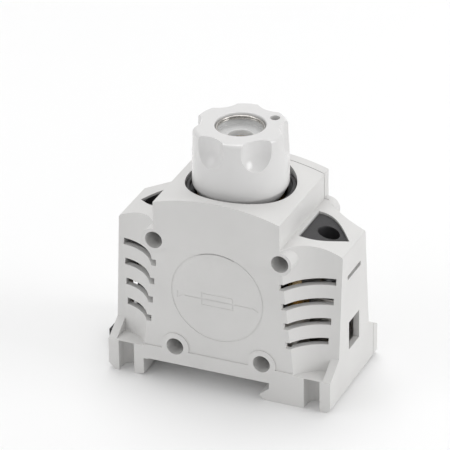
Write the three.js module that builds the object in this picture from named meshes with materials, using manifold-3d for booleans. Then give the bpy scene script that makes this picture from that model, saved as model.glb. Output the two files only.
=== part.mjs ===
// One pole of a rail-mounted DIAZED D II fuse holder with its screw cap and fuse link.
// Millimetres. +X runs across the rail (wire direction), +Y along the rail, +Z up.
// The origin is the centre of the face that rests on the rail's flanges.
import * as THREE from "three";
import { mergeVertices } from "three/addons/utils/BufferGeometryUtils.js";
import Module from "manifold-3d";

const wasm = await Module();
wasm.setup();

// Driving dimensions
const GAP = 0.3; // between pieces that touch
const DEPTH = 42; // along the rail
const BLOCK_W = 44; // centre block across the rail
const BLOCK_TOP = 58.9; // its top corners
const CROWN = 3.4; // how far its arched top rises above them
const WING_X = 39.3; // outer end faces
const WING_IN_Z = 49.75; // wing top where it leaves the block
const WING_BEND = [29.5, 49.6]; // control point of its gentle curve
const WING_EDGE = [39, 45.2]; // where the curve ends
const WING_OUT_Z = 44.6; // top of the outer end face
const WALL = 2;
const BASE_BOTTOM = -6.7;
const FLANGE_Z = 4.6; // top of the base flange, floor of the scoops
const RAIL_HALF = 17.5;
const HOOK_Z = -2.1; // where the rail hooks start, a little under a 1 mm rail
const SCOOP = { x: 39, y: -28.4, low: 14.8, high: 18.55, highZ: 46 };
const COVER_Y = 17.5; // where the rear cover starts
const HOLE_R = 18.2; // cap hole in the top
const UPPER_TUBE = { x: 22, z: 45, r: 3, outer: 4.1 };
const LOWER_TUBE = { x: 15.3, z: 6.6, r: 3, outer: 4.9 };
const VENT = { z: 36.3, pitch: 7, count: 4, height: 2.3, reach: 37.4, notch: 1.4 };
const NOTCH = { near: 30.1, far: 35.6, deep: 6 };
const RECESS = { low: 5.2, high: 42.6, deep: 0.4, circle: 16.2, circleZ: 28 };
const TERMINAL_X = 30.6; // clamp screws
const ENTRY = { low: 8.3, high: 18.5, half: 4.5 };
const SLIT = { low: 34.7, high: 36.3, half: 5.7 };
const LEFT_FUNNEL = { along: 0.88, across: 0.8 }; // the left opening is smaller
const DRIVER_R = 3.5; // screwdriver hole in each funnel
const CUP_R = 17;
const PITCH = 3.629; // E27 thread
const THREAD_A = 0.55; // half its depth
const MALE_R = 12.65; // mean radius of the cap's shell, outside
const FEMALE_R = 13.15; // mean radius of the holder's shell, inside
const SHEET = 0.5;
const SOCKET = { low: 39, high: 56.7 };
const CAP = { bottom: 57.6, top: 81.2, r: 15.9 };
const WINDOW = { r: 8.3, hole: 4.2, seat: 77, sill: 75 };
const FLUTE = { count: 6, first: 13, r: 8, at: 20.8, end: 77.5 };
const FUSE = { foot: 21.6, shoulder: 34.4, top: 71.2, r: 11, footR: 6.9 };
const LATCH = { out: -46, nose: -14.6, low: -5.2, high: -1.4, half: 6, stop: -36.5 };

// Helpers
function solid(geometry) {
  const g = geometry.clone();
  g.deleteAttribute("normal");
  g.deleteAttribute("uv");
  const m = mergeVertices(g, 1e-4);
  return new wasm.Manifold(
    new wasm.Mesh({
      numProp: 3,
      vertProperties: m.attributes.position.array,
      triVerts: new Uint32Array(m.index.array),
    }),
  );
}

function geometryOf(made) {
  const mesh = made.simplify(0.02).getMesh();
  const g = new THREE.BufferGeometry();
  g.setAttribute("position", new THREE.BufferAttribute(mesh.vertProperties, 3));
  g.setIndex(new THREE.BufferAttribute(mesh.triVerts, 1));
  const flat = g.toNonIndexed();
  flat.computeVertexNormals();
  return flat;
}

function box(x0, x1, y0, y1, z0, z1) {
  const g = new THREE.BoxGeometry(x1 - x0, y1 - y0, z1 - z0);
  return solid(g.translate((x0 + x1) / 2, (y0 + y1) / 2, (z0 + z1) / 2));
}

// Extrusion along Y of an outline in X and Z.
function plateY(points, y0, y1) {
  const shape = new THREE.Shape(points.map(([x, z]) => new THREE.Vector2(x, z)));
  const g = new THREE.ExtrudeGeometry(shape, { depth: y1 - y0, bevelEnabled: false });
  return solid(g.rotateX(Math.PI / 2).translate(0, y1, 0));
}

// Extrusion along X of an outline in Y and Z.
function plateX(points, x0, x1) {
  const shape = new THREE.Shape(points.map(([y, z]) => new THREE.Vector2(y, z)));
  const g = new THREE.ExtrudeGeometry(shape, { depth: x1 - x0, bevelEnabled: false });
  g.rotateX(Math.PI / 2).rotateZ(Math.PI / 2);
  return solid(g.translate(x0, 0, 0));
}

// Extrusion along Z of an outline in X and Y.
function plateZ(points, z0, z1) {
  const shape = new THREE.Shape(points.map(([x, y]) => new THREE.Vector2(x, y)));
  const g = new THREE.ExtrudeGeometry(shape, { depth: z1 - z0, bevelEnabled: false });
  return solid(g.translate(0, 0, z0));
}

function rodZ(r, z0, z1, x = 0, y = 0, sides = 24, top = r) {
  const g = new THREE.CylinderGeometry(top, r, z1 - z0, sides).rotateX(Math.PI / 2);
  return solid(g.translate(x, y, (z0 + z1) / 2));
}

function rodY(r, y0, y1, x, z, sides = 20) {
  return solid(new THREE.CylinderGeometry(r, r, y1 - y0, sides).translate(x, (y0 + y1) / 2, z));
}

// A body turned about Z from [radius, height] pairs.
function turned(profile, sides = 32) {
  const points = profile.map(([r, z]) => new THREE.Vector2(r, z));
  return solid(new THREE.LatheGeometry(points, sides).rotateX(Math.PI / 2));
}

function ring(rIn, rOut, z0, z1, sides = 32) {
  return turned([[rIn, z0], [rOut, z0], [rOut, z1], [rIn, z1], [rIn, z0]], sides);
}

function join(...list) {
  return list.reduce((a, b) => a.add(b));
}

function cut(from, ...list) {
  return list.reduce((a, b) => a.subtract(b), from);
}

const mirrorX = (s) => s.mirror([1, 0, 0]);
const mirrorY = (s) => s.mirror([0, 1, 0]);
const bothX = (s) => s.add(mirrorX(s));
const bothY = (s) => s.add(mirrorY(s));
const allFour = (s) => bothY(bothX(s));

// A sheet shell whose wall follows the rounded E27 thread, the same phase in every shell.
function threadShell(meanR, z0, z1, sheet) {
  const around = 18;
  const rows = Math.round(((z1 - z0) / PITCH) * 5);
  const position = [];
  const index = [];
  for (const side of [0, sheet]) {
    for (let i = 0; i <= rows; i += 1) {
      const z = z0 + ((z1 - z0) * i) / rows;
      for (let k = 0; k < around; k += 1) {
        const turn = (2 * Math.PI * k) / around;
        const r = meanR + side + THREAD_A * Math.cos((2 * Math.PI * z) / PITCH - turn);
        position.push(r * Math.cos(turn), r * Math.sin(turn), z);
      }
    }
  }
  const at = (side, i, k) => (side * (rows + 1) + i) * around + (k % around);
  const quad = (a, b, c, d) => index.push(a, b, c, a, c, d);
  for (let k = 0; k < around; k += 1) {
    for (let i = 0; i < rows; i += 1) {
      quad(at(1, i, k), at(1, i, k + 1), at(1, i + 1, k + 1), at(1, i + 1, k));
      quad(at(0, i, k), at(0, i + 1, k), at(0, i + 1, k + 1), at(0, i, k + 1));
    }
    quad(at(0, 0, k), at(0, 0, k + 1), at(1, 0, k + 1), at(1, 0, k));
    quad(at(0, rows, k), at(1, rows, k), at(1, rows, k + 1), at(0, rows, k + 1));
  }
  const g = new THREE.BufferGeometry();
  g.setAttribute("position", new THREE.Float32BufferAttribute(position, 3));
  g.setIndex(index);
  return solid(g);
}

// Housing

function archZ(x) {
  const half = BLOCK_W / 2;
  const r = (half * half + CROWN * CROWN) / (2 * CROWN);
  return BLOCK_TOP + CROWN - r + Math.sqrt(r * r - x * x);
}

// The right wing's top from its outer end to the block: a shallow quadratic curve.
function wingTop() {
  const steps = 6;
  const curve = [[WING_X, WING_OUT_Z]];
  for (let i = 0; i <= steps; i += 1) {
    const t = i / steps;
    const [a, b, c] = [(1 - t) * (1 - t), 2 * t * (1 - t), t * t];
    const x = a * WING_EDGE[0] + b * WING_BEND[0] + (c * BLOCK_W) / 2;
    curve.push([x, a * WING_EDGE[1] + b * WING_BEND[1] + c * WING_IN_Z]);
  }
  return curve;
}

// Outline of the body in X and Z, drawn in by a wall thickness.
function bodyOutline(inset) {
  const half = BLOCK_W / 2 - inset;
  const drop = inset * 1.2;
  const wing = wingTop().map(([x, z]) => [x - inset, z - drop]);
  const right = [[WING_X - inset, FLANGE_Z - 0.1], ...wing];
  const arch = [];
  const steps = 12;
  for (let i = 0; i <= steps; i += 1) {
    const x = half - (i * 2 * half) / steps;
    arch.push([x, archZ(x) - inset * 1.3]);
  }
  const left = right.map(([x, z]) => [-x, z]).reverse();
  return [...right, ...arch, ...left];
}

function scoopR(z) {
  return SCOOP.low + ((SCOOP.high - SCOOP.low) * (z - FLANGE_Z)) / (SCOOP.highZ - FLANGE_Z);
}

// The four concave corners, as drafted cones, grown inwards by a wall for the cavity.
function scoops(grow, floor) {
  const top = 66;
  const [low, high] = [scoopR(floor) + grow, scoopR(top) + grow];
  return allFour(rodZ(low, floor, top, SCOOP.x, SCOOP.y, 40, high));
}

// The cones as they cut the outside: above the screw tubes the block keeps its full width.
function outerScoops() {
  const block = box(-BLOCK_W / 2, BLOCK_W / 2, -DEPTH, DEPTH, UPPER_TUBE.z, 80);
  return cut(scoops(0, FLANGE_Z), block);
}

function gusset() {
  const outline = [[-8, 12.4], [-DEPTH / 2, FLANGE_Z - 0.4], [-DEPTH / 2, 2], [-8, 2]];
  return allFour(plateX(outline, WING_X - 2.8, WING_X));
}

function base() {
  const half = DEPTH / 2;
  const right = [
    [WING_X, FLANGE_Z], [WING_X, BASE_BOTTOM + 1.3], [WING_X - 1.3, BASE_BOTTOM],
    [16.6, BASE_BOTTOM], [14.6, -5.5], [14.6, -4.8], [RAIL_HALF + 0.4, HOOK_Z],
    [RAIL_HALF + 0.4, 0],
  ];
  const left = [
    [-25, 0], [-25, -0.3], [-26.7, -0.3], [-26.7, BASE_BOTTOM + 0.6], [-29, BASE_BOTTOM],
    [-WING_X + 2.2, BASE_BOTTOM], [-WING_X, BASE_BOTTOM + 2.2], [-WING_X, FLANGE_Z],
  ];
  const slab = plateY([...left.reverse(), ...right.reverse()].reverse(), -half, half);
  const tunnel = box(-60, -17.8, -LATCH.half - 1.6, LATCH.half + 1.6, -20, -0.6);
  const notchSide = box(NOTCH.near, NOTCH.far, -half - 1, -half + NOTCH.deep - 2.75, -20, 20);
  const mid = (NOTCH.near + NOTCH.far) / 2;
  const round = rodZ(2.75, -20, 20, mid, -half + NOTCH.deep - 2.75, 16);
  return cut(slab, tunnel, allFour(notchSide.add(round)));
}

function outerShape() {
  const body = plateY(bodyOutline(0), -DEPTH / 2, DEPTH / 2);
  const shaped = cut(body, outerScoops()).add(gusset());
  return shaped.add(base());
}

function cavity() {
  const inner = plateY(bodyOutline(WALL), -DEPTH / 2 + WALL, DEPTH / 2 - WALL);
  const room = cut(inner, scoops(WALL, 0));
  const floor = box(-WING_X - 1, WING_X + 1, -30, 30, -1, FLANGE_Z + 1.4);
  const well = box(-25, 25, -DEPTH / 2 + WALL, DEPTH / 2 - WALL, 2, 20);
  return cut(room, floor).add(well);
}

function tubeWalls() {
  const upper = rodY(UPPER_TUBE.outer, -DEPTH / 2, DEPTH / 2, UPPER_TUBE.x, UPPER_TUBE.z, 24);
  const lower = rodY(LOWER_TUBE.outer, -DEPTH / 2, DEPTH / 2, LOWER_TUBE.x, LOWER_TUBE.z, 24);
  return bothX(upper.add(lower));
}

function tubeBores() {
  const upper = rodY(UPPER_TUBE.r, -30, 30, UPPER_TUBE.x, UPPER_TUBE.z);
  const lower = rodY(LOWER_TUBE.r, -30, 30, LOWER_TUBE.x, LOWER_TUBE.z);
  return bothX(upper.add(lower));
}

// Slots through the scoop walls that also notch the edges of the front and rear faces.
function vents() {
  const list = [];
  for (let i = 0; i < VENT.count; i += 1) {
    const z = VENT.z - i * VENT.pitch;
    const r = scoopR(z);
    const edge = SCOOP.x - Math.sqrt(r * r - (SCOOP.y + DEPTH / 2) ** 2);
    const reach = VENT.reach - 0.6 * i;
    const [low, high] = [z - VENT.height / 2, z + VENT.height / 2];
    list.push(box(edge - VENT.notch, reach, -DEPTH / 2 - 1, DEPTH / 2 + 1, low, high));
  }
  return bothX(cut(join(...list), scoopCore()));
}

// Keeps the vents to the scoop walls: what lies deeper than the wall stays whole.
function scoopCore() {
  const outer = box(-60, 60, -40, 40, 0, 60);
  const extra = WALL + 0.5;
  const near = rodZ(scoopR(0) + extra, 0, 60, SCOOP.x, SCOOP.y, 32, scoopR(60) + extra);
  return cut(outer, bothY(near));
}

// The shield-shaped opening in a wing's top, smaller on the left.
function funnelOutline(shrink, side) {
  const half = [[23.5 + shrink, 8.9 - shrink], [30.5, 7.4 - shrink], [35, 4.2 - shrink]];
  half.push([37.4 - 1.2 * shrink, 0.8]);
  const { along, across } = side > 0 ? { along: 1, across: 1 } : LEFT_FUNNEL;
  const scaled = half.map(([x, y]) => [23.5 + (x - 23.5) * along, y * across]);
  const outline = [...scaled, ...scaled.map(([x, y]) => [x, -y]).reverse()].reverse();
  return side > 0 ? outline : outline.map(([x, y]) => [-x, y]).reverse();
}

function faceCuts() {
  const ends = [WING_X - 4, WING_X + 1];
  const slit = box(...ends, -SLIT.half, SLIT.half, SLIT.low, SLIT.high);
  const entry = box(...ends, -ENTRY.half, ENTRY.half, ENTRY.low, ENTRY.high);
  const tops = [1, -1].map((side) => plateZ(funnelOutline(0, side), 41, 60));
  return join(bothX(slit.add(entry)), ...tops);
}

// The front face is set back a little between the base and the upper screw tubes, round the tubes' rims.
function frontRecess() {
  const face = -DEPTH / 2;
  const panel = box(-28, 28, face - 1, face + RECESS.deep, RECESS.low, RECESS.high);
  const rims = tubeWalls();
  const ringOut = rodY(RECESS.circle, -30, 0, 0, RECESS.circleZ, 32);
  const ringIn = rodY(RECESS.circle - 0.7, -31, 1, 0, RECESS.circleZ, 32);
  const groove = box(-20, 20, face - 1, face + 2 * RECESS.deep, 0, 60);
  return cut(panel, rims).add(cut(ringOut, ringIn).intersect(groove));
}

function wholeShell() {
  const skin = cut(outerShape(), cavity()).add(tubeWalls().intersect(outerHull()));
  const capHole = rodZ(HOLE_R, 40, 80, 0, 0, 40);
  return cut(skin, tubeBores(), vents(), faceCuts(), frontRecess(), capHole);
}

function outerHull() {
  return box(-WING_X, WING_X, -DEPTH / 2, DEPTH / 2, BASE_BOTTOM, 70);
}

// Ribs and seats inside the housing that hold the inner pieces.
function seats() {
  const cupSeat = ring(14, 19.4, 15, 17.2, 32);
  const legs = bothX(box(12, 19.9, -19.5, -13, 2, 17.2));
  const backLegs = mirrorY(legs).intersect(box(-30, 30, -30, COVER_Y - GAP, 0, 30));
  const shelf = box(24.3, 37.6, -9, -6.4, 3, 22.4);
  const shelves = bothX(bothY(shelf));
  return join(cupSeat, legs, backLegs, shelves);
}

// Lips under the latch and the tab that its spring pushes from.
function latchGuides() {
  const lip = box(-38, -28, LATCH.half - 1.6, LATCH.half + 1.8, BASE_BOTTOM, LATCH.low - GAP);
  const tab = box(LATCH.stop - 1, LATCH.stop, -2.2, 2.2, LATCH.low + 0.4, 0);
  return bothY(lip).add(tab);
}

function housing() {
  const front = box(-60, 60, -30, COVER_Y - GAP, -20, 80);
  const shell = wholeShell().intersect(front);
  const inside = cut(seats(), tubeBores(), scoops(1, 0)).intersect(front);
  return join(shell, inside, latchGuides());
}

function rearCover() {
  const back = box(-60, 60, COVER_Y, 30, -20, 80);
  return wholeShell().intersect(back);
}

// Socket

function socketBody() {
  const cup = turned([
    [13.2, 17.6], [CUP_R, 17.6], [CUP_R, 50.2], [17.8, 51], [17.8, 59.2], [16.6, 59.2],
    [16.6, 58.2], [15, 57.6], [15, 37.8], [13.2, 37.8], [13.2, 17.6],
  ], 40);
  const lineSlot = box(10, 20, -4.4, 4.4, 34.8, 38.4);
  const loadSlot = box(-20, -10, -4.4, 4.4, 17, 19.7);
  return cut(cup, lineSlot, loadSlot);
}

function threadSocket() {
  const shell = threadShell(FEMALE_R, SOCKET.low, SOCKET.high, SHEET);
  const foot = ring(11.6, FEMALE_R + 0.6, SOCKET.low - 0.6, SOCKET.low + 0.35, 24);
  return shell.add(foot);
}

function gaugeScrew() {
  return turned([
    [7.6, 21.4], [12.6, 21.4], [12.6, 31.5], [11.6, 33.5], [8.6, 33.5], [7.6, 32.5], [7.6, 21.4],
  ], 32);
}

function footContact() {
  const plate = rodZ(12.4, 19.6, 21.1, 0, 0, 32);
  const stud = rodZ(5.4, 21, 21.3, 0, 0, 24);
  return cut(plate.add(stud), rodZ(2.1, 10, 30, 0, 0, 16));
}

function contactScrew() {
  const stem = rodZ(1.8, 14.2, 20.9, 0, 0, 16);
  const nut = rodZ(4, 14.8, 17.2, 0, 0, 6);
  return stem.add(nut);
}

// Strip from the thread shell down and out to the right-hand clamp.
function lineBusbar() {
  const outline = [
    [12.2, 38.1], [19.4, 38.1], [19.4, 21], [37.2, 21], [37.2, 19.4], [17.8, 19.4],
    [17.8, 36.5], [12.2, 36.5],
  ];
  return plateY(outline.reverse(), -4, 4);
}

function shellRivet() {
  return rodZ(1.1, 35.1, 36.2, 13, 0, 16, 1.6);
}

// Strip from under the foot contact out to the left-hand clamp.
function loadBusbar() {
  const strip = box(-37.2, 8, -4, 4, 17.5, 19.3);
  return cut(strip, rodZ(2.1, 0, 40, 0, 0, 16));
}

// Terminals

function clampSleeve(side) {
  const x = side * TERMINAL_X;
  const outer = box(x - 4.6, x + 4.6, -5.8, 5.8, 6.4, 26.4);
  const inner = box(x - 10, x + 10, -4.5, 4.5, 8, 23.8);
  const bore = rodZ(2.75, 20, 40, x, 0, 20);
  return cut(outer, inner, bore);
}

function clampScrew(side, foot) {
  const x = side * TERMINAL_X;
  const shank = rodZ(2.5, foot + 0.3, 37.6, x, 0, 20);
  const head = rodZ(3.9, 37.4, 40.4, x, 0, 24);
  const slot = box(x - 5, x + 5, -0.5, 0.5, 39, 42);
  return cut(shank.add(head), slot);
}

function funnel(side) {
  const block = plateZ(funnelOutline(GAP, side), 41 + GAP, 60);
  const hole = rodZ(DRIVER_R, 30, 60, side * TERMINAL_X, 0, 28);
  return cut(block.intersect(bodyLid()), hole);
}

// What lies just under the wing's top surface.
function bodyLid() {
  const outline = bodyOutline(0).map(([x, z]) => [x, z - 0.7]);
  return plateY(outline, -20, 20);
}

// Rail latch

function railLatch() {
  const { out, nose, low, high, half } = LATCH;
  const outline = [
    [out, low], [out, high], [-19, high], [-19, HOOK_Z], [nose, HOOK_Z - 0.7],
    [nose, low + 1], [nose - 2, low], [out + 1, low],
  ];
  const slide = plateY(outline.reverse(), -half, half);
  const pry = box(out + 2, out + 5, -2.6, 2.6, -20, 20);
  const springRoom = box(LATCH.stop - 1.4, -24, -2.6, 2.6, -20, 20);
  return cut(slide, pry, springRoom);
}

function latchSpring() {
  const coil = [];
  const turns = 5;
  const perTurn = 8;
  for (let i = 0; i <= turns * perTurn; i += 1) {
    const a = (2 * Math.PI * i) / perTurn;
    const x = LATCH.stop + 0.6 + (11.2 * i) / (turns * perTurn);
    coil.push(new THREE.Vector3(x, 1.3 * Math.cos(a), -3.3 + 1.3 * Math.sin(a)));
  }
  const path = new THREE.CatmullRomCurve3(coil);
  const wire = [0, 1, 2, 3, 4, 5].map((k) => {
    const a = (k * Math.PI) / 3;
    return new THREE.Vector2(0.25 * Math.cos(a), 0.25 * Math.sin(a));
  });
  const g = new THREE.ExtrudeGeometry(new THREE.Shape(wire), {
    steps: turns * perTurn,
    extrudePath: path,
  });
  return solid(g);
}

// Screw cap

function capBody() {
  const { bottom, top, r } = CAP;
  const profile = [
    [13.1, bottom], [13.4, bottom], [14.6, bottom + 0.7], [15.4, bottom + 1.9],
    [r, bottom + 3.4], [r - 0.3, top - 1.3], [r - 0.7, top - 0.4], [r - 1.5, top],
    [WINDOW.r + 0.4, top], [WINDOW.r, top - 0.4], [WINDOW.r, WINDOW.seat],
    [WINDOW.hole, WINDOW.seat], [WINDOW.hole, WINDOW.sill], [11.2, WINDOW.sill],
    [11.2, 72.6], [13.1, 72.6], [13.1, bottom],
  ];
  const flutes = [];
  for (let i = 0; i < FLUTE.count; i += 1) {
    const a = THREE.MathUtils.degToRad(FLUTE.first + (i * 360) / FLUTE.count);
    const x = FLUTE.at * Math.cos(a);
    const y = FLUTE.at * Math.sin(a);
    const ball = new THREE.SphereGeometry(FLUTE.r, 20, 10).rotateX(Math.PI / 2);
    flutes.push(rodZ(FLUTE.r, FLUTE.end, top + 5, x, y, 20), solid(ball.translate(x, y, FLUTE.end)));
  }
  const t = THREE.MathUtils.degToRad(43);
  const test = rodZ(1.65, 70, 90, 11.9 * Math.cos(t), 11.9 * Math.sin(t), 16);
  return cut(turned(profile, 36), ...flutes, test);
}

function capThread() {
  const low = 43.5;
  const high = 57.3;
  const shell = threadShell(MALE_R - SHEET, low, high, SHEET);
  const neck = ring(MALE_R - 0.6, MALE_R + 0.1, high - 0.2, 72.2, 18);
  const lip = ring(11.4, MALE_R, 71.6, 72.2, 18);
  return join(shell, neck, lip);
}

function capContact() {
  return ring(4.6, 11, 71.6, 72.3, 32).add(ring(9.8, 11, 71.6, 74.6, 32));
}

function windowRing() {
  return solid(new THREE.TorusGeometry(7.5, 0.45, 6, 24).translate(0, 0, CAP.top - 1.1));
}

function windowGlass() {
  return rodZ(WINDOW.r - 0.4, WINDOW.seat + 0.7, WINDOW.seat + 2, 0, 0, 32);
}

// Fuse link

function fuseBody() {
  const { shoulder, top, r, footR } = FUSE;
  return turned([
    [0, 24.6], [footR - 0.4, 24.6], [footR - 0.4, shoulder - 3], [r - 0.4, shoulder + 2],
    [r - 0.4, top - 3.4], [0, top - 3.4],
  ], 28);
}

function fuseTopCap() {
  const { top } = FUSE;
  return turned([
    [1.9, top - 3.1], [10.9, top - 3.1], [10.9, top - 0.8], [10, top], [1.9, top],
    [1.9, top - 3.1],
  ], 28);
}

function fuseFootCap() {
  const { foot, footR } = FUSE;
  return rodZ(footR, foot, 24.3, 0, 0, 28);
}

function fuseIndicator() {
  return rodZ(1.6, FUSE.top - 3.1, FUSE.top + 0.2, 0, 0, 16);
}

// Materials and assembly

const FINISHES = {
  greyPlastic: [0xd2d2d0, 0.62, 0],
  darkPlastic: [0x3c3a3c, 0.6, 0],
  blackPlastic: [0x1c1c1e, 0.55, 0],
  whitePlastic: [0xf0eeea, 0.25, 0],
  brass: [0xc8a24a, 0.35, 1],
  plated: [0xc9c9c6, 0.3, 1],
  steel: [0xa8aaac, 0.35, 1],
  ceramic: [0xe8e4da, 0.4, 0],
  gaugeYellow: [0xe3c02a, 0.45, 0],
  glass: [0xe8f0f0, 0.05, 0],
};

function material(finish) {
  const [color, roughness, metalness] = FINISHES[finish];
  const made = new THREE.MeshStandardMaterial({ color, roughness, metalness });
  if (finish === "glass") {
    made.transparent = true;
    made.opacity = 0.35;
  }
  return made;
}

const pieces = [
  ["housing", housing(), "greyPlastic"],
  ["rear_cover", rearCover(), "greyPlastic"],
  ["socket_body", socketBody(), "darkPlastic"],
  ["thread_socket", threadSocket(), "brass"],
  ["foot_contact", footContact(), "brass"],
  ["contact_screw", contactScrew(), "steel"],
  ["gauge_screw", gaugeScrew(), "gaugeYellow"],
  ["line_busbar", lineBusbar(), "brass"],
  ["shell_rivet", shellRivet(), "brass"],
  ["load_busbar", loadBusbar(), "brass"],
  ["clamp_sleeve_right", clampSleeve(1), "plated"],
  ["clamp_sleeve_left", clampSleeve(-1), "plated"],
  ["clamp_screw_right", clampScrew(1, 21), "steel"],
  ["clamp_screw_left", clampScrew(-1, 19.3), "steel"],
  ["funnel_right", funnel(1), "darkPlastic"],
  ["funnel_left", funnel(-1), "darkPlastic"],
  ["rail_latch", railLatch(), "blackPlastic"],
  ["latch_spring", latchSpring(), "steel"],
  ["cap_body", capBody(), "whitePlastic"],
  ["cap_thread", capThread(), "brass"],
  ["cap_contact", capContact(), "brass"],
  ["window_ring", windowRing(), "plated"],
  ["window_glass", windowGlass(), "glass"],
  ["fuse_body", fuseBody(), "ceramic"],
  ["fuse_top_cap", fuseTopCap(), "plated"],
  ["fuse_foot_cap", fuseFootCap(), "plated"],
  ["fuse_indicator", fuseIndicator(), "gaugeYellow"],
];

const group = new THREE.Group();
for (const [name, made, finish] of pieces) {
  const mesh = new THREE.Mesh(geometryOf(made), material(finish));
  mesh.name = name;
  group.add(mesh);
}

export default group;
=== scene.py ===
"""Looks of the screw-cap fuse holder: fine shells, cap and metal parts around the CAD frame."""

import math

import bmesh
import bpy
from mathutils import Matrix, Vector


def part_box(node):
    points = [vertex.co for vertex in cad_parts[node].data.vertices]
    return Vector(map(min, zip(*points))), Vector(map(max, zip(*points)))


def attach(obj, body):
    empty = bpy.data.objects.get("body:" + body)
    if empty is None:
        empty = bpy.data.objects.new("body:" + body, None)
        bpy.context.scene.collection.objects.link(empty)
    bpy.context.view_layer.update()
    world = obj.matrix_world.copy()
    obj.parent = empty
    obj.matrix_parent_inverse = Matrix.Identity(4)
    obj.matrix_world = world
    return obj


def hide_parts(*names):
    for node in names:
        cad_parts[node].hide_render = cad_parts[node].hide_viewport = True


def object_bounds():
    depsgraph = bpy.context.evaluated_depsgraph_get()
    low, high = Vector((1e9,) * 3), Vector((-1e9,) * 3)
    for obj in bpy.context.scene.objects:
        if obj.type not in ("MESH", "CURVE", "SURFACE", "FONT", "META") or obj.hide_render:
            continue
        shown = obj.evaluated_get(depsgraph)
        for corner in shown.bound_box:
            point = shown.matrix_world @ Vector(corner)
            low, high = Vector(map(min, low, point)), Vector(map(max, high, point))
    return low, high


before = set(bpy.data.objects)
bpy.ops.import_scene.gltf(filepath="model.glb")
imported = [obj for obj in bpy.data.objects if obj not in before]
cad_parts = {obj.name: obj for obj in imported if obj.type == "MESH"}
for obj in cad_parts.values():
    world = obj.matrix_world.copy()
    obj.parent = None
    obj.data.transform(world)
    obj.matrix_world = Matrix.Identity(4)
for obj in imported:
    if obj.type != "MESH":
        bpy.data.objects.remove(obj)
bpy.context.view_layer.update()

MM = 0.001


def span(node):
    """A CAD node's lowest and highest corners in millimetres."""
    low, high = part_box(node)
    return low / MM, high / MM


HOUSE_LOW, HOUSE_HIGH = span("housing")
CAP_LOW, CAP_HIGH = span("cap_body")
END_X = HOUSE_HIGH.x  # outer end faces of the wings
FACE_Y = -HOUSE_LOW.y  # half the depth along the rail
BASE_Z = HOUSE_LOW.z
TOP_Z = HOUSE_HIGH.z
COVER_Y = span("rear_cover")[0].y
BLOCK_X = 22.0  # half the centre block's width
CROWN = 3.4  # how far the arched top rises
FLANGE_Z = 4.6
WALL = 2.0
WING_IN = (BLOCK_X, 49.75)  # the wing top's curve: where it leaves the block,
WING_BEND = (29.5, 49.6)  # its control point
WING_EDGE = (39.0, 45.2)  # and its end
WING_OUT_Z = 44.6
SCOOP_X = 39.0
SCOOP_Y = 28.4
SCOOP_LOW_R = 14.8
SCOOP_SLOPE = 3.75 / 41.4
HOLE_R = 18.2
HOOK_Z = -2.1
LEFT_FUNNEL = (0.88, 0.8)  # the left opening is smaller: along X, across Y
WINDOW_SEAT = 77.0
WINDOW_SILL = 75.0
UPPER = (22.0, 45.0, 3.0, 4.1)  # tube: x, z, bore radius, outer radius
LOWER = (15.3, 6.6, 3.0, 4.9)
VENTS = 4
VENT_Z = 36.3
VENT_PITCH = 7.0
VENT_HALF = 1.15
VENT_REACH = 37.4
VENT_NOTCH = 1.4
NOTCH_X = 32.85
NOTCH_R = 2.75
NOTCH_DEEP = 6.0
RECESS_LOW = 5.2
RECESS_HIGH = 42.6
RECESS = 0.4
CIRCLE_R = 16.2
CIRCLE_Z = 28.0
SLIT = (5.7, 34.7, 36.3)  # in each end face: half width, lowest and highest z
WIRE_ENTRY = (4.5, 8.3, 18.5)
FUNNEL_START = (23.5, 8.9)  # the driver opening's inner end: x, half width
FUNNEL_TIP_X = 37.6
FUNNEL_FLOOR = 41.0
DRIVER_R = 3.5
COVER_GAP = 0.3  # joint line between the housing and its rear cover
EDGE_ROUND = 0.45  # moulded edge radius of the housing
SCREW_LOW, SCREW_HIGH = span("clamp_screw_right")
TERMINAL_X = (SCREW_LOW.x + SCREW_HIGH.x) / 2
PITCH = 3.629
THREAD_A = 0.55
SHEET = 0.5  # the thread shells' sheet
CAP_THREAD_R, CAP_THREAD_Z = 12.15, (43.5, 57.3)  # inner mean radius, lowest and highest z
SOCKET_THREAD_R, SOCKET_THREAD_Z = 13.15, (39.0, 56.7)
FLUTES = 6
FLUTE_FIRST = 13.0
FLUTE_R = 8.0
FLUTE_AT = 20.8
FLUTE_END = 77.5
TEST_HOLE = (1.65, 11.9, 43.0)  # in the cap's top: radius, distance out, angle in degrees
BIG = 200.0  # past every face


# Mesh helpers, in millimetres


def make(name, verts, faces):
    """An object from points in millimetres and faces of point numbers."""
    mesh = bpy.data.meshes.new(name)
    mesh.from_pydata([Vector(v) * MM for v in verts], [], faces)
    mesh.validate()
    obj = bpy.data.objects.new(name, mesh)
    bpy.context.scene.collection.objects.link(obj)
    return obj


def prism(points, low, high, axis="z", name="tool"):
    """A closed outline, counter-clockwise or not, extruded along an axis."""
    n = len(points)

    def place(p, level):
        a, b = p
        return {"z": (a, b, level), "y": (a, level, b), "x": (level, a, b)}[axis]

    verts = [place(p, low) for p in points] + [place(p, high) for p in points]
    faces = [tuple(range(n)), tuple(range(2 * n - 1, n - 1, -1))]
    faces += [(i, n + i, n + (i + 1) % n, (i + 1) % n) for i in range(n)]
    return outward(make(name, verts, faces))


def outward(obj):
    """Turns every face to look out of the closed mesh."""
    bm = bmesh.new()
    bm.from_mesh(obj.data)
    bmesh.ops.recalc_face_normals(bm, faces=bm.faces)
    if bm.calc_volume(signed=True) < 0:
        bmesh.ops.reverse_faces(bm, faces=bm.faces)
    bm.to_mesh(obj.data)
    bm.free()
    return obj


def block(x0, x1, y0, y1, z0, z1, name="tool"):
    """A box between two levels on each axis."""
    return prism([(x0, y0), (x1, y0), (x1, y1), (x0, y1)], z0, z1, "z", name)


def circle(r, cx=0.0, cy=0.0, sides=48):
    turn = [2 * math.pi * i / sides for i in range(sides)]
    return [(cx + r * math.cos(a), cy + r * math.sin(a)) for a in turn]


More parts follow.
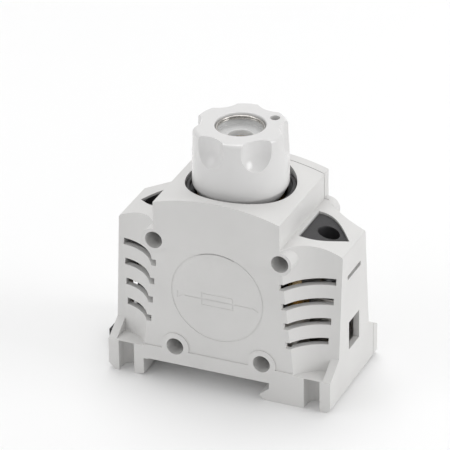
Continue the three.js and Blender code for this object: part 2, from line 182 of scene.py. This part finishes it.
def rod(r, low, high, cx=0.0, cy=0.0, axis="z", sides=48):
    """A round bar along an axis; cx and cy are its centre in the other two, in order."""
    return prism(circle(r, cx, cy, sides), low, high, axis)


def lathe(name, profile, sides=96, cx=0.0, cy=0.0):
    """A body turned about a vertical axis from a closed profile of radius and height."""
    on_axis = [abs(r) < 1e-6 for r, _ in profile]
    verts, rows = [], []
    for (r, z), pole in zip(profile, on_axis):
        start = len(verts)
        if pole:
            verts.append((cx, cy, z))
            rows.append([start] * sides)
            continue
        for k in range(sides):
            a = 2 * math.pi * k / sides
            verts.append((cx + r * math.cos(a), cy + r * math.sin(a), z))
        rows.append([start + k for k in range(sides)])
    faces = []
    for i in range(len(profile)):
        one, two = rows[i], rows[(i + 1) % len(profile)]
        if on_axis[i] and on_axis[(i + 1) % len(profile)]:
            continue
        for k in range(sides):
            ring = [one[k], one[(k + 1) % sides], two[(k + 1) % sides], two[k]]
            faces.append(tuple(dict.fromkeys(ring)))
    return outward(make(name, verts, faces))


def rounded(profile, steps=5):
    """A profile with its corners rounded: each corner is (r, z, radius)."""
    out = []
    n = len(profile)
    for i, (r, z, radius) in enumerate(profile):
        here = Vector((r, z))
        if not radius:
            out.append((r, z))
            continue
        before = (Vector(profile[i - 1][:2]) - here).normalized()
        after = (Vector(profile[(i + 1) % n][:2]) - here).normalized()
        half = before.angle(after) / 2
        reach = radius / math.tan(half)
        centre = here + (before + after).normalized() * (radius / math.sin(half))
        a, b = here + before * reach - centre, here + after * reach - centre
        for k in range(steps + 1):
            t = k / steps
            bow = (a * (1 - t) + b * t).normalized() * radius
            out.append(tuple(centre + bow))
    return out


def combine(target, tools, operation="DIFFERENCE"):
    """Boolean of the target with each tool in turn; the tools are used up."""
    for tool in tools:
        step = target.modifiers.new("cut", "BOOLEAN")
        step.operation = operation
        step.solver = "MANIFOLD"
        step.object = tool
        bake(target)
        mesh = tool.data
        bpy.data.objects.remove(tool)
        bpy.data.meshes.remove(mesh)
    return target


def bake(obj):
    """Applies the object's modifiers to its mesh."""
    graph = bpy.context.evaluated_depsgraph_get()
    fresh = bpy.data.meshes.new_from_object(obj.evaluated_get(graph))
    old = obj.data
    obj.modifiers.clear()
    obj.data = fresh
    bpy.data.meshes.remove(old)
    return obj


def soften(obj, width, segments=2, angle=28.0):
    """Rounds the edges as a mould does and keeps the flats flat."""
    weld = obj.modifiers.new("weld", "WELD")
    weld.merge_threshold = 0.04 * MM
    flat = obj.modifiers.new("flat", "DECIMATE")
    flat.decimate_type = "DISSOLVE"
    flat.angle_limit = math.radians(0.8)
    bevel = obj.modifiers.new("bevel", "BEVEL")
    bevel.use_clamp_overlap = True
    bevel.width = width * MM
    bevel.segments = segments
    bevel.limit_method = "ANGLE"
    bevel.angle_limit = math.radians(angle)
    bevel.miter_outer = "MITER_ARC"
    bake(obj)
    return smooth(obj)


def smooth(obj, angle=35.0):
    """Smooth shading whose normals follow the large faces, so flats stay flat."""
    obj.data.shade_smooth()
    obj.data.set_sharp_from_angle(angle=math.radians(angle))
    even = obj.modifiers.new("even", "WEIGHTED_NORMAL")
    even.keep_sharp = True
    return bake(obj)


# Housing


def arch_z(x):
    """The arched block top's height over a place along X."""
    corner = TOP_Z - CROWN
    r = (BLOCK_X**2 + CROWN**2) / (2 * CROWN)
    return corner + CROWN - r + math.sqrt(r * r - x * x)


def wing_top(steps=16):
    """The right wing's top from its outer end to the block: a shallow quadratic curve."""
    curve = [Vector((END_X, WING_OUT_Z))]
    edge, bend, start = Vector(WING_EDGE), Vector(WING_BEND), Vector(WING_IN)
    for i in range(steps + 1):
        t = i / steps
        curve.append(edge * (1 - t) ** 2 + bend * 2 * t * (1 - t) + start * t * t)
    return curve


def body_outline(inset):
    """The body's outline in X and Z, drawn in by a wall thickness."""
    half = BLOCK_X - inset
    right = [(END_X - inset, FLANGE_Z - 0.1)]
    right += [(x - inset, z - 1.2 * inset) for x, z in wing_top()]
    top = [half - 2 * half * i / 32 for i in range(33)]
    arch = [(x, arch_z(x) - 1.3 * inset) for x in top]
    left = [(-x, z) for x, z in reversed(right)]
    return right + arch + left


def scoop_r(z):
    """Radius of the drafted concave corners at a height."""
    return SCOOP_LOW_R + SCOOP_SLOPE * (z - FLANGE_Z)


def corners():
    """The signs of X and Y at the four corners."""
    return [(sx, sy) for sx in (1, -1) for sy in (1, -1)]


def cone(r0, r1, z0, z1, cx, cy, sides=96):
    return lathe("tool", [(0, z0), (r0, z0), (r1, z1), (0, z1)], sides, cx, cy)


def scoop_tools(grow, floor):
    """The four cones that hollow the corners, each grown by a wall thickness."""
    top = 70
    low_r, top_r = scoop_r(floor) + grow, scoop_r(top) + grow
    return [
        cone(low_r, top_r, floor, top, sx * SCOOP_X, sy * SCOOP_Y) for sx, sy in corners()
    ]


def base_slab():
    """The flange with the fixed hook, the latch's arch and tunnel, and the corner notches."""
    hook = [
        (END_X, FLANGE_Z), (END_X, BASE_Z + 1.3), (END_X - 1.3, BASE_Z), (16.6, BASE_Z),
        (14.6, -5.5), (14.6, -4.8), (17.9, HOOK_Z), (17.9, 0),
    ]
    arch = [
        (-25, 0), (-25, -0.3), (-26.7, -0.3), (-26.7, BASE_Z + 0.6), (-29, BASE_Z),
        (-END_X + 2.2, BASE_Z), (-END_X, BASE_Z + 2.2), (-END_X, FLANGE_Z),
    ]
    slab = prism(hook + arch, -FACE_Y, FACE_Y, "y")
    tunnel = block(-60, -17.8, -7.6, 7.6, -20, -0.6)
    tools = [tunnel]
    inner = FACE_Y - NOTCH_DEEP + NOTCH_R
    for sx, sy in corners():
        xs = sorted((sx * (NOTCH_X - NOTCH_R), sx * (NOTCH_X + NOTCH_R)))
        ys = sorted((sy * (FACE_Y + 1), sy * inner))
        tools.append(block(*xs, *ys, -20, 20))
        tools.append(rod(NOTCH_R, -20, 20, sx * NOTCH_X, sy * inner))
    return combine(slab, tools)


def tube_tools(radius_index, length):
    """Rods along the four through tubes: index 0 for the bores, 1 for the tubes' outsides."""
    rods = []
    for x, z, *radii in (UPPER, LOWER):
        for s in (1, -1):
            rods.append(rod(radii[radius_index], -length, length, s * x, z, "y"))
    return rods


def outer_shell():
    body = prism(body_outline(0), -FACE_Y, FACE_Y, "y")
    scoops = scoop_tools(0, FLANGE_Z)
    for scoop in scoops:  # above the screw tubes the block keeps its full width
        combine(scoop, [block(-BLOCK_X, BLOCK_X, -BIG, BIG, UPPER[1], BIG)])
    combine(body, scoops)
    rib = [(-8, 12.4), (-FACE_Y, FLANGE_Z - 0.4), (-FACE_Y, 2), (-8, 2)]
    ribs = []
    for sx, sy in corners():
        xs = sorted((sx * END_X, sx * (END_X - 2.8)))
        ribs.append(prism([(-sy * y, z) for y, z in rib], *xs, "x"))
    return combine(body, ribs + [base_slab()], "UNION")


def cavity():
    """The hollow inside the walls, with the well under the cap's socket."""
    room = prism(body_outline(WALL), -FACE_Y + WALL, FACE_Y - WALL, "y")
    floor = block(-END_X - 1, END_X + 1, -30, 30, -1, FLANGE_Z + 1.4)
    combine(room, scoop_tools(WALL, 0) + [floor])
    well = block(-25, 25, -FACE_Y + WALL, FACE_Y - WALL, 2, 20)
    return combine(room, [well], "UNION")


def vent_tools():
    """Four ventilation slots through each corner's wall, no deeper than the wall."""
    tools = []
    low_r, top_r = (scoop_r(z) + WALL + 0.5 for z in (0, 60))
    for sx in (1, -1):
        for i in range(VENTS):
            z = VENT_Z - i * VENT_PITCH
            edge = SCOOP_X - math.sqrt(scoop_r(z) ** 2 - (SCOOP_Y - FACE_Y) ** 2)
            xs = sorted((sx * (edge - VENT_NOTCH), sx * (VENT_REACH - 0.6 * i)))
            for sy in (1, -1):
                ys = sorted((sy * 6.0, sy * (FACE_Y + 1)))
                slot = block(*xs, *ys, z - VENT_HALF, z + VENT_HALF)
                keep = cone(low_r, top_r, 0, 60, sx * SCOOP_X, sy * SCOOP_Y)
                tools.append(combine(slot, [keep], "INTERSECT"))
    return tools


def funnel_outline(shrink, side):
    """The shield-shaped opening in the wing's top."""
    inner_x, half = FUNNEL_START
    start, tip = (inner_x + shrink, half - shrink), (FUNNEL_TIP_X - 1.3 * shrink, 0.0)
    steps = 12
    upper = []
    for i in range(steps + 1):
        t = i / steps
        x = start[0] + (tip[0] - start[0]) * t
        bow = start[1] * (1 - t) + 3.1 * math.sin(math.pi * t) * (1 - 0.25 * t)
        upper.append((x, bow))
    outline = upper[:-1] + [tip] + [(x, -y) for x, y in reversed(upper[:-1])]
    along, across = (1.0, 1.0) if side > 0 else LEFT_FUNNEL
    return [(side * (inner_x + (x - inner_x) * along), y * across) for x, y in outline]


def face_tools():
    """Each wing's slit, wire entry and driver opening."""
    tools = []
    for s in (1, -1):
        xs = sorted((s * (END_X - 4), s * (END_X + 1)))
        for half, low, high in (SLIT, WIRE_ENTRY):
            tools.append(block(*xs, -half, half, low, high))
        tools.append(prism(funnel_outline(0, s), FUNNEL_FLOOR, 60, "z"))
    return tools


def recess_tools():
    """The set-back front face, its ring line and the fuse sign."""
    panel = block(-28, 28, -FACE_Y - 1, -FACE_Y + RECESS, RECESS_LOW, RECESS_HIGH)
    combine(panel, tube_tools(1, 30))
    ring = rod(CIRCLE_R, -FACE_Y - 1, -FACE_Y + RECESS + 0.15, 0, CIRCLE_Z, "y", 128)
    combine(ring, [rod(CIRCLE_R - 0.5, -40, 0, 0, CIRCLE_Z, "y", 128)])
    return [panel, ring] + symbol_tools()


def symbol_tools():
    """The fuse sign: a box on a line, cut finely into the recessed face."""
    depth = (-FACE_Y - 1, -FACE_Y + RECESS + 0.12)
    middle, half_w, half_h, line = 26.6, 5.6, 2.3, 0.22
    frame_out = block(-half_w, half_w, *depth, middle - half_h, middle + half_h)
    frame_in = block(-half_w + 2 * line, half_w - 2 * line, -40, 0,
                     middle - half_h + 2 * line, middle + half_h - 2 * line)
    combine(frame_out, [frame_in])
    wire = block(-11.5, 11.5, *depth, middle - line, middle + line)
    combine(frame_out, [wire], "UNION")
    tools = [frame_out]
    for s in (1, -1):
        tip, back = s * 12.2, s * 14.2
        mark = [(tip, middle), (back, middle + 1.3), (back, middle - 1.3)]
        tools.append(prism(mark, *depth, "y"))
    return tools


def shell_parts():
    """The whole hollow moulding, before it is split into housing and cover."""
    whole = combine(outer_shell(), [cavity()])
    combine(whole, tube_tools(1, FACE_Y), "UNION")
    cap_hole = rod(HOLE_R, 40, 80, sides=128)
    combine(whole, tube_tools(0, 30) + vent_tools() + face_tools() + [cap_hole])
    return whole


def copy_of(obj, name):
    twin = obj.copy()
    twin.data = obj.data.copy()
    twin.name = name
    bpy.context.scene.collection.objects.link(twin)
    return twin


def build_housing():
    """The front shell and the rear cover, split at the joint line."""
    front = shell_parts()
    cover = copy_of(front, "rear_cover_moulded")
    front.name = "housing_moulded"
    combine(front, [block(-BIG, BIG, -BIG, COVER_Y - COVER_GAP, -BIG, BIG)], "INTERSECT")
    combine(cover, [block(-BIG, BIG, COVER_Y, BIG, -BIG, BIG)], "INTERSECT")
    for s in (1, -1):
        ys = sorted((s * 4.4, s * 7.8))
        combine(front, [block(-38, -28, *ys, BASE_Z, -5.5)], "UNION")
    soften(front, EDGE_ROUND, 3)
    soften(cover, EDGE_ROUND, 3)
    smooth(combine(front, recess_tools()))
    return front, cover


# Materials


def material(name, color, roughness, metallic=0.0, **sockets):
    mat = bpy.data.materials.new(name)
    mat.use_nodes = True
    shader = mat.node_tree.nodes["Principled BSDF"]
    shader.inputs["Base Color"].default_value = (*color, 1)
    shader.inputs["Roughness"].default_value = roughness
    shader.inputs["Metallic"].default_value = metallic
    for key, value in sockets.items():
        shader.inputs[key.replace("_", " ")].default_value = value
    return mat


def noise(mat, scale, detail, stretch=(1, 1, 1)):
    nodes, links = mat.node_tree.nodes, mat.node_tree.links
    place = nodes.new("ShaderNodeTexCoord")
    mapping = nodes.new("ShaderNodeMapping")
    mapping.inputs["Scale"].default_value = stretch
    texture = nodes.new("ShaderNodeTexNoise")
    texture.inputs["Scale"].default_value = scale
    texture.inputs["Detail"].default_value = detail
    links.new(place.outputs["Object"], mapping.inputs["Vector"])
    links.new(mapping.outputs["Vector"], texture.inputs["Vector"])
    return texture


def vary(mat, source, socket, low, high):
    """Drives a number socket from a texture, between two values."""
    nodes, links = mat.node_tree.nodes, mat.node_tree.links
    remap = nodes.new("ShaderNodeMapRange")
    remap.inputs["From Min"].default_value = 0.3
    remap.inputs["From Max"].default_value = 0.7
    remap.inputs["To Min"].default_value = low
    remap.inputs["To Max"].default_value = high
    links.new(source.outputs["Fac"], remap.inputs["Value"])
    links.new(remap.outputs["Result"], nodes["Principled BSDF"].inputs[socket])


def tint(mat, source, dark, light):
    """Colours the surface between two close tones."""
    nodes, links = mat.node_tree.nodes, mat.node_tree.links
    ramp = nodes.new("ShaderNodeValToRGB")
    ramp.color_ramp.elements[0].position = 0.3
    ramp.color_ramp.elements[0].color = (*dark, 1)
    ramp.color_ramp.elements[1].position = 0.7
    ramp.color_ramp.elements[1].color = (*light, 1)
    links.new(source.outputs["Fac"], ramp.inputs["Fac"])
    links.new(ramp.outputs["Color"], nodes["Principled BSDF"].inputs["Base Color"])


def bump(mat, source, strength, distance):
    nodes, links = mat.node_tree.nodes, mat.node_tree.links
    node = nodes.new("ShaderNodeBump")
    node.inputs["Strength"].default_value = strength
    node.inputs["Distance"].default_value = distance
    links.new(source.outputs["Fac"], node.inputs["Height"])
    links.new(node.outputs["Normal"], nodes["Principled BSDF"].inputs["Normal"])


def shade(color, factor):
    return tuple(min(1.0, c * factor) for c in color)


def plastic(name, color, roughness, grain=2600, depth=0.12, spread=0.03):
    """Moulded plastic: fine spark-eroded grain and faint flow tones."""
    mat = material(name, color, roughness)
    tint(mat, noise(mat, 45, 3), shade(color, 1 - spread), shade(color, 1 + spread))
    fine = noise(mat, grain, 2)
    vary(mat, fine, "Roughness", roughness - 0.06, roughness + 0.06)
    bump(mat, fine, depth, 0.00003)
    return mat


def metal(name, color, roughness, stretch=(1, 1, 1)):
    """Sheet or turned metal with drawn streaks and slight tarnish."""
    mat = material(name, color, roughness, 1.0)
    tint(mat, noise(mat, 120, 5), shade(color, 0.82), shade(color, 1.08))
    streaks = noise(mat, 900, 3, stretch)
    vary(mat, streaks, "Roughness", roughness - 0.08, roughness + 0.12)
    bump(mat, streaks, 0.15, 0.00002)
    return mat


GREY = plastic("housing_grey", (0.665, 0.66, 0.65), 0.5)
DARK = plastic("insert_dark_grey", (0.03, 0.029, 0.031), 0.45, spread=0.12)
BLACK = plastic("latch_black", (0.012, 0.012, 0.013), 0.42, spread=0.15)
WHITE = plastic("cap_white", (0.7, 0.695, 0.69), 0.2, 1400, 0.05, 0.015)
WHITE_COAT = WHITE.node_tree.nodes["Principled BSDF"].inputs
WHITE_COAT["Coat Weight"].default_value = 0.35
WHITE_COAT["Coat Roughness"].default_value = 0.12
BRASS = metal("brass_sheet", (0.72, 0.5, 0.2), 0.28)
PLATED = metal("nickel_plated", (0.62, 0.6, 0.57), 0.2, (1, 1, 6))
STEEL = metal("zinc_steel", (0.5, 0.51, 0.52), 0.34, (4, 4, 1))
CERAMIC = plastic("unglazed_ceramic", (0.78, 0.75, 0.68), 0.55, 1800, 0.2, 0.04)
YELLOW = plastic("glazed_yellow", (0.75, 0.5, 0.03), 0.25, 900, 0.05, 0.06)
GLASS = material("window_pane", (0.97, 0.99, 0.99), 0.03, 0.0, Alpha=0.12, IOR=1.46)
bump(GLASS, noise(GLASS, 300, 2), 0.02, 0.00001)


def show(obj, mat, body, slot, *nodes):
    """Gives a piece its material and its body, and hides the CAD nodes it stands for."""
    obj.data.materials.clear()
    obj.data.materials.append(mat)
    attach(obj, body)
    if nodes:
        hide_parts(*nodes)
    return obj


def repaint(node, mat):
    """Gives a CAD node that is shown as it is a material."""
    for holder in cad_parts[node].material_slots:
        holder.material = mat


# Screw cap


def flute_tools():
    """Round-ended cutters for the thumb flutes round the cap."""
    tools = []
    for i in range(FLUTES):
        a = math.radians(FLUTE_FIRST + 360 * i / FLUTES)
        x, y = FLUTE_AT * math.cos(a), FLUTE_AT * math.sin(a)
        dome = [(0, FLUTE_END - FLUTE_R)]
        for k in range(1, 17):
            t = math.pi / 2 * k / 16
            dome.append((FLUTE_R * math.sin(t), FLUTE_END - FLUTE_R * math.cos(t)))
        dome += [(FLUTE_R, CAP_HIGH.z + 5), (0, CAP_HIGH.z + 5)]
        tools.append(lathe("tool", dome, 64, x, y))
    return tools


def build_cap():
    low, top = CAP_LOW.z, CAP_HIGH.z
    r = CAP_HIGH.x
    profile = rounded([
        (13.1, low, 0), (14.2, low, 0.5), (r, low + 3.6, 1.8), (r - 0.35, top, 1.3),
        (8.3, top, 0.5), (8.3, WINDOW_SEAT, 0.3), (4.2, WINDOW_SEAT, 0.35),
        (4.2, WINDOW_SILL, 0), (11.2, WINDOW_SILL, 0),
        (11.2, 72.6, 0), (13.1, 72.6, 0),
    ])
    cap = lathe("cap_moulded", profile, 144)
    hole_r, out, angle = TEST_HOLE
    a = math.radians(angle)
    test = rod(hole_r, 70, 90, out * math.cos(a), out * math.sin(a))
    combine(cap, flute_tools() + [test])
    soften(cap, 0.55, 4, 30)
    return cap


def thread_grid(name, mean, z0, z1):
    """A formed-sheet thread shell, as fine rows of a helix of constant wall."""
    around = 96
    rows = int((z1 - z0) / PITCH * 24)
    verts, faces = [], []
    for side in (0, 1):
        for i in range(rows + 1):
            z = z0 + (z1 - z0) * i / rows
            for k in range(around):
                a = 2 * math.pi * k / around
                r = mean + side * SHEET + THREAD_A * math.cos(2 * math.pi * z / PITCH - a)
                verts.append((r * math.cos(a), r * math.sin(a), z))

    def at(side, i, k):
        return (side * (rows + 1) + i) * around + k % around

    for k in range(around):
        for i in range(rows):
            faces.append((at(1, i, k), at(1, i, k + 1), at(1, i + 1, k + 1), at(1, i + 1, k)))
            faces.append((at(0, i, k), at(0, i + 1, k), at(0, i + 1, k + 1), at(0, i, k + 1)))
        faces.append((at(0, 0, k), at(0, 0, k + 1), at(1, 0, k + 1), at(1, 0, k)))
        faces.append((at(0, rows, k), at(1, rows, k), at(1, rows, k + 1), at(0, rows, k + 1)))
    return outward(make(name, verts, faces))


def torus(name, major, minor, z):
    """A wire ring lying flat."""
    return smooth(lathe(name, circle(minor, major, z, 20), 96), 80)


def build_cap_metal():
    """The cap's thread shell, contact, window rings and pane."""
    shell = thread_grid("cap_thread_formed", CAP_THREAD_R, *CAP_THREAD_Z)
    neck = lathe("neck", [(12.05, 57.1), (12.75, 57.1), (12.75, 72.2), (12.05, 72.2)], 96)
    lip = lathe("lip", [(11.4, 71.6), (12.6, 71.6), (12.6, 72.2), (11.4, 72.2)], 96)
    combine(shell, [neck, lip], "UNION")
    show(smooth(shell, 50), BRASS, "cap", "brass", "cap_thread")
    contact = lathe("cap_contact_pressed", rounded([
        (4.6, 71.6, 0.2), (11, 71.6, 0.3), (11, 74.6, 0.2), (10.3, 74.6, 0.2),
        (10.3, 72.3, 0.2), (4.6, 72.3, 0.2),
    ], 3))
    show(smooth(contact), BRASS, "cap", "brass", "cap_contact")
    ring = torus("window_ring_wire", 7.72, 0.32, CAP_HIGH.z - 1.1)
    show(ring, PLATED, "cap", "plated", "window_ring")
    second = torus("window_ring_inner", 7.78, 0.26, CAP_HIGH.z - 1.85)
    show(second, PLATED, "cap", "plated")
    pane = lathe("window_pane_disc", rounded([
        (0, WINDOW_SEAT + 0.7, 0), (7.9, WINDOW_SEAT + 0.7, 0.3),
        (7.9, WINDOW_SEAT + 1.8, 0.3), (0, WINDOW_SEAT + 1.8, 0),
    ], 3))
    show(smooth(pane), GLASS, "cap", "window_glass", "window_glass")


# Socket and fuse


def build_socket():
    """The collar and cup, the female thread shell and the gauge ring."""
    cup = lathe("socket_cup", rounded([
        (13.2, 17.6, 0), (17, 17.6, 0.6), (17, 50.4, 0), (17.8, 51.2, 0), (17.8, 59.2, 0.3),
        (16.6, 59.2, 0.3), (16.6, 58, 0), (15, 57.4, 0.4), (15, 37.8, 0), (13.2, 37.8, 0),
    ], 4), 128)
    combine(cup, [block(10, 20, -4.4, 4.4, 34.8, 38.4), block(-20, -10, -4.4, 4.4, 17, 19.7)])
    show(smooth(cup), DARK, "holder", "dark_plastic", "socket_body")
    shell = thread_grid("socket_thread_formed", SOCKET_THREAD_R, *SOCKET_THREAD_Z)
    foot = lathe("foot", [(11.6, 38.4), (13.75, 38.4), (13.75, 39.3), (11.6, 39.3)], 96)
    combine(shell, [foot], "UNION")
    show(smooth(shell, 50), BRASS, "holder", "brass", "thread_socket")
    gauge = lathe("gauge_ring", rounded([
        (7.6, 21.4, 0.3), (12.6, 21.4, 0.5), (12.6, 31.5, 0.8), (11.6, 33.5, 0.6),
        (8.6, 33.5, 0.5), (7.6, 32.3, 0.4),
    ], 3))
    show(smooth(gauge), YELLOW, "holder", "gauge_yellow", "gauge_screw")


def build_fuse():
    """The fuse link: barrel, head cap, foot stud and indicator."""
    body = lathe("fuse_barrel", rounded([
        (0, 24.6, 0), (6.5, 24.6, 0.4), (6.5, 31.4, 1.5), (10.6, 36.4, 1.5), (10.6, 67.8, 0.4),
        (0, 67.8, 0),
    ]))
    show(smooth(body), CERAMIC, "fuse_link", "ceramic", "fuse_body")
    head = lathe("fuse_head_cap", rounded([
        (1.9, 68.1, 0.2), (10.9, 68.1, 0.3), (10.9, 71.2, 0.9), (3.6, 71.2, 0.2),
        (3.2, 70.8, 0.2), (1.9, 70.8, 0.2),
    ], 3))
    show(smooth(head), PLATED, "fuse_link", "plated", "fuse_top_cap")
    foot = lathe("fuse_foot_stud", rounded([
        (0, 21.6, 0), (6.9, 21.6, 0.8), (6.9, 24.3, 0.3), (0, 24.3, 0),
    ], 3))
    show(smooth(foot), PLATED, "fuse_link", "plated", "fuse_foot_cap")
    button = [(0, 68.1), (1.6, 68.1), (1.6, 71.1), (1.2, 71.35), (0, 71.4)]
    flag = lathe("fuse_indicator_button", button, 48)
    show(smooth(flag), YELLOW, "fuse_link", "gauge_yellow", "fuse_indicator")


# Terminals


def build_terminal(side, word):
    """One wing's clamp screw, box clamp and funnel insert."""
    low, high = span("clamp_screw_" + word)
    x = side * TERMINAL_X
    head_z, head_r, core, crest = 37.4, 3.9, 2.15, 2.5
    screw = lathe("screw_head_" + word, rounded([
        (0, head_z - 0.2, 0), (head_r, head_z - 0.2, 0.4), (head_r, high.z, 0.7), (0, high.z, 0),
    ], 4), 64, x)
    combine(screw, [block(x - 5, x + 5, -0.5, 0.5, 39, 42)])
    show(soften(screw, 0.12, 2), STEEL, "screw_" + word, "steel", "clamp_screw_" + word)
    shank = screw_thread("screw_shank_" + word, core, crest, low.z, head_z - 0.15, x)
    show(shank, STEEL, "screw_" + word, "steel")
    sleeve = block(x - 4.6, x + 4.6, -5.8, 5.8, 6.4, 26.4, "clamp_cage_" + word)
    combine(sleeve, [block(x - 10, x + 10, -4.5, 4.5, 8, 23.8), rod(2.75, 20, 40, x, 0)])
    for k in range(4):
        groove_x = x - 3.3 + 2.2 * k
        combine(sleeve, [block(groove_x - 0.3, groove_x + 0.3, -4.2, 4.2, 7.7, 8.2)])
    show(soften(sleeve, 0.2, 2), PLATED, "sleeve_" + word, "plated", "clamp_sleeve_" + word)
    build_funnel(side, word, x)


def screw_thread(name, core, crest, z0, z1, x):
    """A shank with a V thread, right-handed, standing at x."""
    around, per_turn, pitch = 48, 10, 1.0
    rows = int((z1 - z0) / pitch * per_turn)
    verts = [(x, 0, z0)]
    for i in range(rows + 1):
        z = z0 + (z1 - z0) * i / rows
        for k in range(around):
            a = 2 * math.pi * k / around
            wave = abs(((z / pitch - a / (2 * math.pi)) % 1) * 2 - 1)
            r = core + (crest - core) * wave
            verts.append((x + r * math.cos(a), r * math.sin(a), z))
    verts.append((x, 0, z1))
    last = len(verts) - 1
    faces = []
    for k in range(around):
        n = (k + 1) % around
        faces.append((0, 1 + n, 1 + k))
        faces.append((last, 1 + rows * around + k, 1 + rows * around + n))
        for i in range(rows):
            a, b = 1 + i * around, 1 + (i + 1) * around
            faces.append((a + k, a + n, b + n, b + k))
    return smooth(outward(make(name, verts, faces)), 60)


def build_funnel(side, word, x):
    """The dark insert that fills the driver opening, under the wing's own curve."""
    outline = funnel_outline(0.3, side)
    insert = prism(outline, FUNNEL_FLOOR + 0.3, 60, "z", "funnel_insert_" + word)
    lid = prism([(px, z - 0.7) for px, z in body_outline(0)], -20, 20, "y")
    combine(insert, [lid], "INTERSECT")
    wide = DRIVER_R + 0.6
    mouth = [(0, 30), (DRIVER_R, 30), (DRIVER_R, 47.6), (wide, 50), (wide, 60), (0, 60)]
    combine(insert, [lathe("tool", mouth, 64, x)])
    show(soften(insert, 0.25, 2), DARK, "holder", "dark_plastic", "funnel_" + word)


# Latch and strips


def build_latch():
    """The sliding foot, with its pry slot, spring room and grip grooves."""
    low, high = span("rail_latch")
    outline = [
        (low.x, low.z + 0.5), (low.x, high.z), (-19, high.z), (-19, -1.6), (high.x, -2.6),
        (high.x, low.z + 1), (high.x - 2, low.z), (low.x + 0.5, low.z),
    ]
    latch = prism(outline, low.y, high.y, "y", "latch_slider")
    slot_half, grip_half = 2.6, 0.3
    pry = block(low.x + 2, low.x + 5, -slot_half, slot_half, -20, 20)
    room = block(-37.9, -24, -slot_half, slot_half, -20, 20)
    tools = [pry, room]
    for i in range(3):
        x0, x1 = (low.x + g + 6 + 1.1 * i for g in (-grip_half, grip_half))
        tools.append(block(x0, x1, -7, 7, low.z - 1, low.z + 0.4))
    combine(latch, tools)
    show(soften(latch, 0.3, 3), BLACK, "latch", "black_plastic", "rail_latch")


def finish_strips():
    """Strips, rivet, contact, screw and spring are shown as the CAD has them."""
    for node in ("line_busbar", "load_busbar", "shell_rivet", "foot_contact"):
        repaint(node, BRASS)
    for node in ("contact_screw", "latch_spring"):
        repaint(node, STEEL)


# Stage, camera and light


def build_stage():
    """A pale floor that curves up into a backdrop."""
    floor_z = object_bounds()[0][2] / MM - 0.02
    size, back, bend = 1500.0, 900.0, 300.0
    path = [(-size, floor_z), (back, floor_z)]
    for i in range(1, 13):
        a = math.radians(90) * i / 12
        path.append((back + bend * math.sin(a), floor_z + bend * (1 - math.cos(a))))
    path.append((back + bend, floor_z + 3 * bend))
    verts = [(x, y, z) for y, z in path for x in (-size, size)]
    faces = [(2 * i, 2 * i + 1, 2 * i + 3, 2 * i + 2) for i in range(len(path) - 1)]
    floor = make("floor", verts, faces)
    floor.data.shade_smooth()
    paper = material("floor_white", (0.9, 0.9, 0.9), 0.8)
    tint(paper, noise(paper, 3, 2), (0.89, 0.89, 0.89), (0.91, 0.91, 0.91))
    floor.data.materials.append(paper)


def area_light(name, place, target, size, power):
    """A round soft light aimed at a target."""
    data = bpy.data.lights.new(name, "AREA")
    data.shape = "DISK"
    data.size = size
    data.energy = power
    obj = bpy.data.objects.new(name, data)
    obj.location = place
    obj.rotation_euler = (Vector(target) - Vector(place)).to_track_quat("-Z", "Y").to_euler()
    bpy.context.scene.collection.objects.link(obj)


def build_light():
    world = bpy.data.worlds.new("studio")
    world.use_nodes = True
    world.node_tree.nodes["Background"].inputs["Color"].default_value = (1, 1, 1, 1)
    world.node_tree.nodes["Background"].inputs["Strength"].default_value = 0.66
    bpy.context.scene.world = world
    centre = (0, 0, 0.03)
    area_light("key", (-0.15, 0.35, 1.1), centre, 0.8, 4.6)
    area_light("fill_left", (-0.8, -0.7, 0.6), centre, 0.8, 1.6)
    area_light("rim_right", (0.9, 0.1, 0.4), centre, 0.5, 2.6)


def build_camera():
    """The photographer's view: a long lens, a little to the right and well above."""
    azimuth, elevation, roll = math.radians(23.6), math.radians(28.7), math.radians(-0.9)
    distance, aside, below = 1.275, 0.00223, 0.04819
    ahead = Vector((
        -math.sin(azimuth) * math.cos(elevation),
        math.cos(azimuth) * math.cos(elevation),
        -math.sin(elevation),
    ))
    level = Vector((math.cos(azimuth), math.sin(azimuth), 0))
    right = Matrix.Rotation(roll, 3, -ahead) @ level
    up = right.cross(ahead)
    data = bpy.data.cameras.new("camera")
    data.lens = 312.8
    data.sensor_width = 36
    data.clip_end = 20
    obj = bpy.data.objects.new("camera", data)
    place = Vector((0, -FACE_Y * MM, 0)) + right * aside + up * below - ahead * distance
    turn = Matrix((right, up, -ahead)).transposed().to_4x4()
    obj.matrix_world = Matrix.Translation(place) @ turn
    bpy.context.scene.collection.objects.link(obj)
    bpy.context.scene.camera = obj
    bpy.context.scene.view_settings.view_transform = "Standard"


build_camera()
build_light()
housing_piece, cover_piece = build_housing()
show(housing_piece, GREY, "holder", "grey_plastic", "housing")
show(cover_piece, GREY, "holder", "grey_plastic", "rear_cover")
show(build_cap(), WHITE, "cap", "white_plastic", "cap_body")
build_cap_metal()
build_socket()
build_fuse()
build_terminal(1, "right")
build_terminal(-1, "left")
build_latch()
finish_strips()
build_stage()
